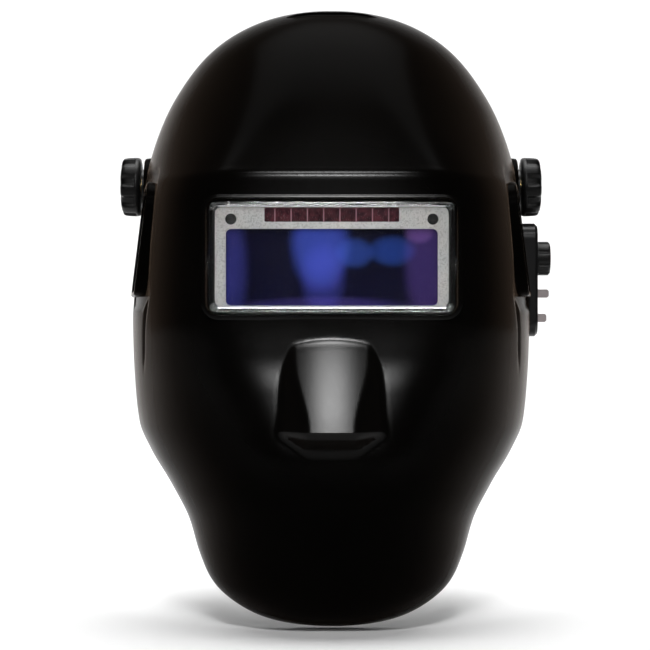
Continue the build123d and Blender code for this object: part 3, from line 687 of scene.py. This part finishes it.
# ---- shell ---------------------------------------------------------------------------------------------
def make_shell():
    points, faces = shell_form()
    mesh = bmesh.new()
    for p in points:
        mesh.verts.new(p)
    mesh.verts.ensure_lookup_table()
    rim_gap = points[:, 1] - rim_depth(points[:, 2])
    for face in faces:
        if min(rim_gap[i] for i in face) < 0:
            mesh.faces.new([mesh.verts[i] for i in face])
    bmesh.ops.delete(mesh, geom=[v for v in mesh.verts if not v.link_faces], context="VERTS")

    def behind_rim(p):
        return p[:, 1] - rim_depth(p[:, 2])

    def in_window(p):
        return np.where(p[:, 1] < -100, -rounded_distance(p[:, 0], p[:, 2] - EYE_Z, *OPENING), UNCUT)

    def in_side_window(p):
        local = side_local(p)
        inside = -rounded_distance(local[:, 1], local[:, 2], *SIDE_SIZE)
        return np.where(np.abs(p[:, 0]) > 70, inside, UNCUT)

    def in_pivot(p):
        return np.where(np.abs(p[:, 0]) > 70, BOSS_R - np.hypot(p[:, 1], p[:, 2]), UNCUT)

    for cut in (behind_rim, in_window, in_side_window, in_pivot):
        cut_away(mesh, field_of(mesh, cut))
    bmesh.ops.delete(mesh, geom=[v for v in mesh.verts if not v.link_faces], context="VERTS")
    sculpted = sculpt(np.array([v.co for v in mesh.verts], float))
    for v, p in zip(mesh.verts, sculpted):
        v.co = Vector(p) * MM
    bmesh.ops.remove_doubles(mesh, verts=mesh.verts, dist=0.15 * MM)
    bmesh.ops.recalc_face_normals(mesh, faces=mesh.faces)
    data = bpy.data.meshes.new("shell_skin")
    mesh.to_mesh(data)
    mesh.free()
    shell = bpy.data.objects.new("shell_skin", data)
    bpy.context.scene.collection.objects.link(shell)
    solid = shell.modifiers.new("wall", "SOLIDIFY")
    solid.thickness, solid.offset, solid.use_even_offset = WALL * MM, -1, False
    apply_modifiers(shell)
    sharpen(shell, 42)
    dress(shell, SHELL_BLACK)
    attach(shell, "shell")
    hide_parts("shell")

    def front(a, b, out):
        return a, -out, b + EYE_Z

    collar = ring_mesh("window_collar", front, OPENING, [
        (-3.6, 143.4), (-3.6, 147.4), (0, 147.6), (0, 152.2), (0.5, 152.9), (1.6, 152.9), (2.4, 152.4),
        (2.4, 143.4)])
    dress(collar, SHELL_BLACK)
    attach(collar, "shell")
    for sign, side in ((1, "left"), (-1, "right")):
        def beside(a, b, out):
            p = SIDE_PLACE @ Vector((out, a, b))
            return sign * p.x, p.y, p.z

        surround = ring_mesh(f"side_window_collar_{side}", beside, SIDE_SIZE, [
            (-4.0, -SIDE_T / 2 - 1.6), (-4.0, -SIDE_T / 2), (0.05, -SIDE_T / 2), (0.05, 3.4), (0.6, 4.0),
            (2.0, 4.0), (2.6, 3.2), (2.6, -SIDE_T / 2 - 1.6)])
        dress(surround, SHELL_BLACK)
        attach(surround, "shell")
        boss = lathe_x(f"pivot_boss_{side}", [
            (5.06, 96.6), (5.06, 99.4), (14.5, 99.4), (15.2, 98.8), (16.0, 91.0), (13.6, 91.0), (12.4, 92.0),
            (12.4, 96.6)], sign)
        dress(boss, SHELL_BLACK)
        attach(boss, "shell")
    return shell


def make_cover():
    """Clear snap-in cover with a doubled rounded edge, corner bosses and side snaps."""
    def front(a, b, out):
        return a, -out, b + EYE_Z

    width, height = 116.0, 52.3
    bosses = [((sx * (width / 2 - 2.6), sy * (height / 2 - 2.6)), (1.9, 1.9), 151.0, 151.85)
              for sx in (1, -1) for sy in (1, -1)]
    snaps = [((sx * (width / 2 + 0.2), -4.0), (0.7, 4.6), 148.2, 151.7) for sx in (1, -1)]
    cover = pan_mesh("clear_front_cover", front, (width, height, 5.0), [
        (-1.3, 149.7), (-1.3, 147.65), (-0.05, 147.65), (0, 147.8), (0, 150.7), (-0.12, 151.1),
        (-0.4, 151.35), (-0.75, 151.3), (-1.0, 151.0), (-1.2, 150.9), (-1.4, 151.0), (-1.7, 151.22),
        (-2.1, 151.15), (-2.35, 150.9), (-2.5, 150.75)], bosses + snaps)
    dress(cover, CLEAR)
    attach(cover, "shell")
    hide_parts("front_cover_lens")


def make_tension_knobs():
    """Fluted knobs with a domed end and a grained grip."""
    flutes, deep, land = 8, 2.1, math.radians(147)

    def fluted(turn, radius, x):
        if x < 104.0 or radius < 9:
            return radius
        share = float(ramp(0.45, -0.75, math.cos(flutes * (turn - land))))
        return radius - deep * share * radius / 15.7

    profile = [(5.3, 110.3), (5.3, 101.4), (13.6, 101.4), (14.9, 101.7), (15.5, 102.4), (15.7, 103.4),
               (15.7, 103.9), (15.7, 104.3), (15.65, 106.0), (15.5, 108.5), (15.25, 110.0), (14.8, 110.8),
               (14.0, 111.3), (12.0, 111.8), (9.5, 112.1), (8.6, 112.0), (8.3, 111.6), (7.9, 111.6),
               (7.6, 112.1), (4.0, 112.4), (0.02, 112.45), (0.02, 110.3)]
    for sign, side in ((1, "left"), (-1, "right")):
        knob = lathe_x(f"fluted_knob_{side}", profile, sign, turns=256, lobe=fluted)
        dress(knob, KNOB_BLACK)
        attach(knob, f"tension_knob_{side}")
        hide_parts(f"tension_knob_{side}")


# ---- soft pieces ---------------------------------------------------------------------------------------
def puffed(cad_name, name, voxel, shrink, cap, pressure=4.0):
    """A stuffed pad from its CAD solid: shrunk a little, inflated as cloth, then smoothed."""
    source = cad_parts[cad_name]
    pad = bpy.data.objects.new(name, source.data.copy())
    bpy.context.scene.collection.objects.link(pad)
    remesh = pad.modifiers.new("remesh", "REMESH")
    remesh.mode, remesh.voxel_size = "VOXEL", voxel * MM
    apply_modifiers(pad)
    if shrink:
        pad.data.update()
        normals = [v.normal.copy() for v in pad.data.vertices]
        for v, n in zip(pad.data.vertices, normals):
            v.co = v.co - n * shrink * MM
    start = np.array([v.co for v in pad.data.vertices])
    cloth = pad.modifiers.new("cloth", "CLOTH")
    cloth.settings.use_pressure = True
    cloth.settings.uniform_pressure_force = pressure
    cloth.settings.effector_weights.gravity = 0
    cloth.settings.quality = 5
    scene = bpy.context.scene
    for f in range(1, 15):
        scene.frame_set(f)
    apply_modifiers(pad)
    scene.frame_set(1)
    moved = np.array([v.co for v in pad.data.vertices]) - start
    length = np.linalg.norm(moved, axis=1)
    moved *= np.minimum(1, cap * MM / np.maximum(length, 1e-9))[:, None]
    for v, p in zip(pad.data.vertices, start + moved):
        v.co = p
    smooth = pad.modifiers.new("smooth", "SMOOTH")
    smooth.iterations, smooth.factor = 4, 0.5
    divide = pad.modifiers.new("divide", "SUBSURF")
    divide.levels = divide.render_levels = 1
    apply_modifiers(pad)
    pad.data.polygons.foreach_set("use_smooth", [True] * len(pad.data.polygons))
    dress(pad, KNIT)
    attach(pad, "headgear")
    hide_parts(cad_name)
    return pad


def make_rear_straps():
    """The springy stretch of the headband between its arm and the toothed tail."""
    for sign, side in ((1, "left"), (-1, "right")):
        low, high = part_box(f"rear_strap_{side}")
        arm_x, arm_y = max(abs(low.x), abs(high.x)) - 1.0 * MM, low.y
        tail_x, tail_y = min(abs(low.x), abs(high.x)), high.y - 1.0 * MM
        control = [Vector((arm_x, arm_y)), Vector((arm_x - 0.010, arm_y + 0.030)),
                   Vector((tail_x + 0.017, tail_y)), Vector((tail_x, tail_y))]
        rows, profile = 28, rounded_outline(2.0, 22.0, 0.9, corner=3)
        points, faces = [], []
        for i in range(rows + 1):
            t = i / rows
            c = [(1 - t)**3, 3 * t * (1 - t)**2, 3 * t * t * (1 - t), t**3]
            place = sum((p * k for p, k in zip(control, c)), Vector((0, 0)))
            d = [-3 * (1 - t)**2, 3 * (1 - t)**2 - 6 * t * (1 - t), 6 * t * (1 - t) - 3 * t * t, 3 * t * t]
            along = sum((p * k for p, k in zip(control, d)), Vector((0, 0))).normalized()
            across = Vector((along.y, -along.x))
            for a, b in profile:
                p = place + across * a * MM
                points.append((sign * p.x / MM, p.y / MM, b - 4.0))
        n = len(profile)
        for i in range(rows):
            for k in range(n):
                a, b = i * n + k, i * n + (k + 1) % n
                face = (a, b, b + n, a + n)
                faces.append(face if sign > 0 else face[::-1])
        faces.append(tuple(range(n))[::-1])
        faces.append(tuple(rows * n + k for k in range(n)))
        strap = sharpen(add_mesh(f"spring_strap_{side}", points, faces))
        dress(strap, BAND_BLACK)
        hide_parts(f"rear_strap_{side}")
        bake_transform(strap)


# ---- stage, light and camera ---------------------------------------------------------------------------
def area_light(name, place, target, size, power, spread):
    data = bpy.data.lights.new(name, "AREA")
    data.energy, data.size = power, size
    data.spread = math.radians(spread)
    obj = bpy.data.objects.new(name, data)
    obj.location = place
    obj.rotation_euler = (Vector(target) - Vector(place)).to_track_quat("-Z", "Y").to_euler()
    bpy.context.scene.collection.objects.link(obj)
    return obj


def make_stage():
    """A pale floor that curves up into a wall behind, in metres."""
    floor_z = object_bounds()[0][2] - 0.0002
    near, back, bend, top, half = -4.0, 2.4, 0.8, 3.2, 1.4
    profile = [(near, 0.0), (back - bend, 0.0)]
    for turn in np.linspace(0, math.pi / 2, 16)[1:]:
        profile.append((back - bend + bend * math.sin(turn), bend - bend * math.cos(turn)))
    profile.append((back, top))
    points = [(x * 1000, y * 1000, (z + floor_z) * 1000) for y, z in profile for x in (-half, half)]
    faces = [(2 * i, 2 * i + 1, 2 * i + 3, 2 * i + 2) for i in range(len(profile) - 1)]
    sweep = add_mesh("backdrop", points, faces)
    material, tree, shader = new_material("backdrop_white")
    shader.inputs["Base Color"].default_value = (0.93, 0.93, 0.93, 1)
    shader.inputs["Roughness"].default_value = 0.9
    dress(sweep, material)


def make_light_and_camera():
    scene = bpy.context.scene
    world = bpy.data.worlds.new("studio")
    world.use_nodes = True
    world.node_tree.nodes["Background"].inputs["Color"].default_value = (1, 1, 1, 1)
    world.node_tree.nodes["Background"].inputs["Strength"].default_value = 0.035
    scene.world = world
    scene.view_settings.view_transform = "Standard"
    area_light("key", (0, -1.10, 0.80), (0, -0.15, -0.08), 0.3, 0.2, spread=20)
    area_light("window_light", (0, -1.25, 0.36), (0, -0.15, -0.042), 0.16, 0.07, spread=14)
    area_light("backdrop_wash", (0, 1.0, 1.9), (0, 2.4, 0.4), 2.4, 36, spread=120)
    area_light("floor_wash", (0, 0.35, 1.6), (0, 0.35, -0.22), 1.6, 14, spread=80)
    camera = bpy.data.cameras.new("camera")
    camera.lens, camera.sensor_width = 124.0, 36.0
    obj = bpy.data.objects.new("camera", camera)
    obj.location = (-0.0032, -1.2, -0.0739)
    obj.rotation_euler = (math.radians(90), 0, 0)
    scene.collection.objects.link(obj)
    scene.camera = obj


make_stage()
make_light_and_camera()
dress_nodes()
make_shell()
make_cover()
make_tension_knobs()
puffed("brow_pad", "brow_cushion", 2.5, 1.0, 2.0)
puffed("rear_pad", "rear_cushion", 2.5, 1.5, 3.0)
make_rear_straps()
